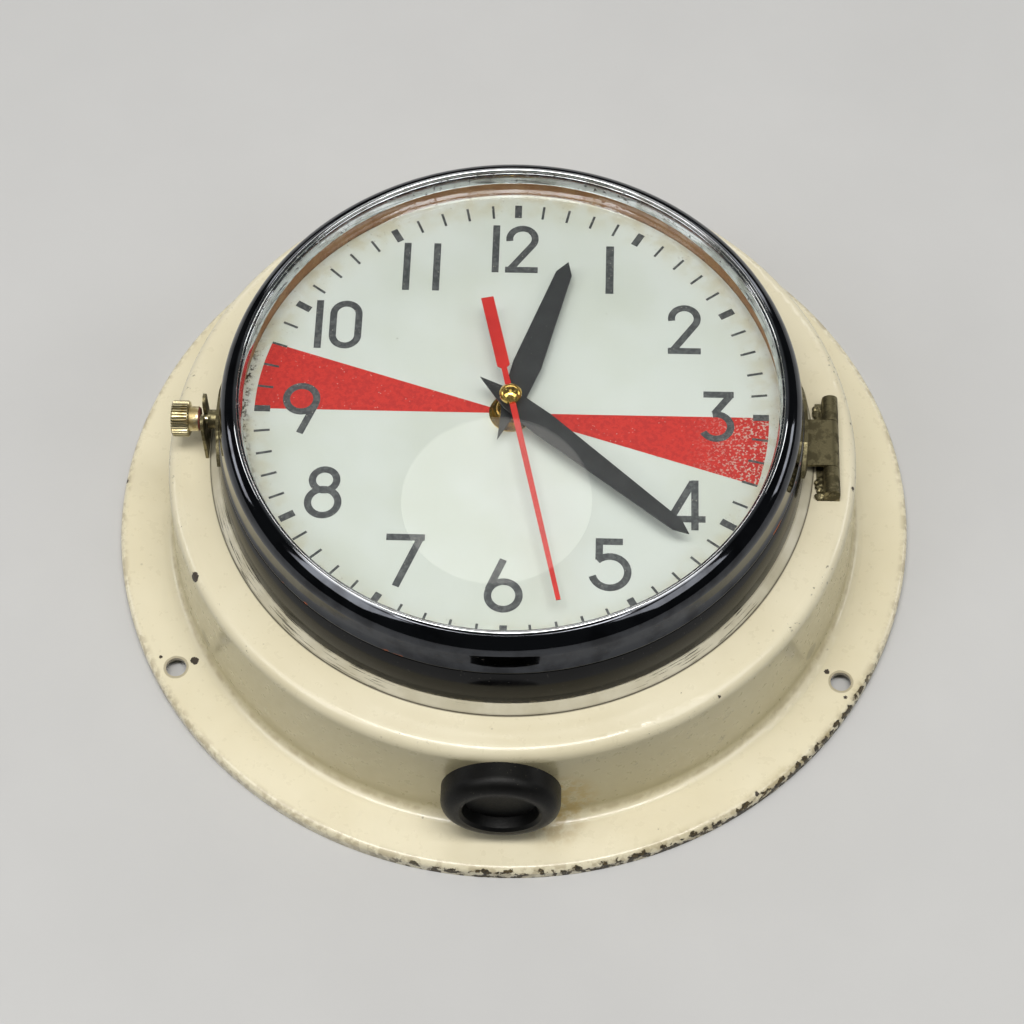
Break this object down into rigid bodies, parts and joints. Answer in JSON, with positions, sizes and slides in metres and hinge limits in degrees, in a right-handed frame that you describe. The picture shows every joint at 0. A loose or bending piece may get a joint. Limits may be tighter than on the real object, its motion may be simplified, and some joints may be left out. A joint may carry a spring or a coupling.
{
  "type": "ships deck clock",
  "caption": "Round bulkhead clock with a flanged steel case, hinged glazed bezel held by a knurled thumbscrew, and a quartz movement behind a marked dial.",
  "frame": {"origin": "centre of the back mounting plane, where the flange's rim meets the bulkhead", "axes": "+Z out of the dial, +Y towards 12 o'clock, +X towards 3 o'clock"},
  "size_m": [0.276, 0.276, 0.087],
  "materials": {
    "cream_enamel": "aged semi-gloss enamel",
    "seat_paint": "worn enamel",
    "bezel_chrome": "polished, pitted at the inner bevel",
    "tarnished_brass": "tarnished",
    "worn_nickel": "worn nickel plate over brass",
    "polished_brass": "polished",
    "clear_glass": "clear",
    "black_rubber": "matt",
    "seal_rubber": "matt",
    "dial_enamel": "aged matt white",
    "surround_tan": "discoloured paint",
    "black_enamel": "satin",
    "hand_red": "satin",
    "zinc_steel": "zinc plated",
    "movement_plastic": "fine texture",
    "white_plastic": "natural acetal",
    "gear_brass": "machined",
    "winding_copper": "enamelled wire",
    "board_green": "solder resist",
    "magnet_grey": "sintered",
    "battery_wrap": "plain sleeve",
    "fibre_red": "vulcanised fibre"
  },
  "bodies": {
    "case": {"case_shell": "cream_enamel", "back_plate": "zinc_steel", "back_gasket": "seal_rubber", "back_plate_brackets": "zinc_steel", "back_plate_screws": "zinc_steel", "bezel_seat_ring": "seat_paint", "neck_ring": "seat_paint", "dial_plate": "dial_enamel", "dial_screws": "zinc_steel", "dial_surround_ring": "surround_tan", "cable_hole_plug": "black_rubber", "hinge_case_leaf": "tarnished_brass", "hinge_pin": "tarnished_brass", "latch_fork": "tarnished_brass", "movement_front_case": "movement_plastic", "movement_rear_cover": "movement_plastic", "movement_bushing": "gear_brass", "movement_cushion": "seal_rubber", "centre_washer": "polished_brass", "centre_nut": "polished_brass", "train_plate": "white_plastic", "stator_plate": "zinc_steel", "coil_bobbin": "white_plastic", "coil_winding": "winding_copper", "circuit_board": "board_green", "quartz_crystal": "zinc_steel", "control_chip": "movement_plastic", "battery": "battery_wrap", "battery_contact_positive": "zinc_steel", "battery_contact_negative": "zinc_steel"},
    "bezel": {"bezel_ring": "bezel_chrome", "glass": "clear_glass", "glass_gasket": "seal_rubber", "glass_retaining_ring": "zinc_steel", "bezel_seal": "seal_rubber", "hinge_bezel_leaf": "tarnished_brass", "latch_plate": "tarnished_brass", "latch_boss": "tarnished_brass"},
    "latch_carrier": {"latch_washer": "fibre_red"},
    "latch_screw": {"latch_screw": "worn_nickel"},
    "seconds": {"seconds_wheel": "white_plastic", "second_hand": "hand_red", "second_hand_cap": "polished_brass"},
    "rotor": {"rotor": "magnet_grey"},
    "step_wheel": {"step_wheel": "white_plastic"},
    "third_wheel": {"third_wheel": "white_plastic"},
    "centre_wheel": {"centre_wheel": "gear_brass"},
    "minutes": {"minute_tube": "gear_brass", "minute_hand": "black_enamel"},
    "motion_wheel": {"motion_wheel": "white_plastic"},
    "hours": {"hour_wheel": "gear_brass", "hour_hand": "black_enamel"},
    "setting": {"setting_gear": "white_plastic", "setting_knob": "movement_plastic"}
  },
  "joints": [
    {"name": "bezel_hinge", "type": "hinge", "parent": "case", "child": "bezel", "pos_m": [0.1076, 0, 0.0506], "axis": [0, 1, 0], "range_deg": [0, 110]},
    {"name": "latch_travel", "type": "slide", "parent": "bezel", "child": "latch_carrier", "axis": [-1, 0, 0], "range_m": [-0.0004, 0.0028]},
    {"name": "latch_turn", "type": "hinge", "parent": "latch_carrier", "child": "latch_screw", "pos_m": [-0.104, 0, 0.0603], "axis": [-1, 0, 0], "range_deg": [-180, 1260]},
    {"name": "second_hand_turn", "type": "hinge", "parent": "case", "child": "seconds", "pos_m": [0, 0, 0.057], "axis": [0, 0, -1], "continuous": true},
    {"name": "rotor_turn", "type": "hinge", "parent": "case", "child": "rotor", "pos_m": [-0.01689, 0.00975, 0.057], "axis": [0, 0, -1], "continuous": true},
    {"name": "step_wheel_turn", "type": "hinge", "parent": "case", "child": "step_wheel", "pos_m": [-0.00909, 0.00525, 0.057], "axis": [0, 0, -1], "continuous": true},
    {"name": "third_wheel_turn", "type": "hinge", "parent": "case", "child": "third_wheel", "pos_m": [0.0106, 0.00612, 0.057], "axis": [0, 0, -1], "continuous": true},
    {"name": "centre_wheel_turn", "type": "hinge", "parent": "case", "child": "centre_wheel", "pos_m": [0, 0, 0.057], "axis": [0, 0, -1], "continuous": true},
    {"name": "minute_hand_turn", "type": "hinge", "parent": "case", "child": "minutes", "pos_m": [0, 0, 0.057], "axis": [0, 0, -1], "continuous": true},
    {"name": "motion_wheel_turn", "type": "hinge", "parent": "case", "child": "motion_wheel", "pos_m": [0, -0.0096, 0.057], "axis": [0, 0, -1], "continuous": true},
    {"name": "hour_hand_turn", "type": "hinge", "parent": "case", "child": "hours", "pos_m": [0, 0, 0.057], "axis": [0, 0, -1], "continuous": true},
    {"name": "setting_knob_turn", "type": "hinge", "parent": "case", "child": "setting", "pos_m": [0.00764, -0.01724, 0.057], "axis": [0, 0, -1], "continuous": true}
  ],
  "couplings": [
    {"joint": "latch_turn", "follows": "latch_travel", "rad_per_m": 7854},
    {"joint": "rotor_turn", "follows": "second_hand_turn", "ratio": 30},
    {"joint": "step_wheel_turn", "follows": "second_hand_turn", "ratio": -6},
    {"joint": "third_wheel_turn", "follows": "second_hand_turn", "ratio": -0.13333},
    {"joint": "centre_wheel_turn", "follows": "second_hand_turn", "ratio": 0.016667},
    {"joint": "motion_wheel_turn", "follows": "minute_hand_turn", "ratio": -0.33333},
    {"joint": "hour_hand_turn", "follows": "minute_hand_turn", "ratio": 0.083333},
    {"joint": "setting_knob_turn", "follows": "minute_hand_turn", "ratio": 0.66667}
  ]
}
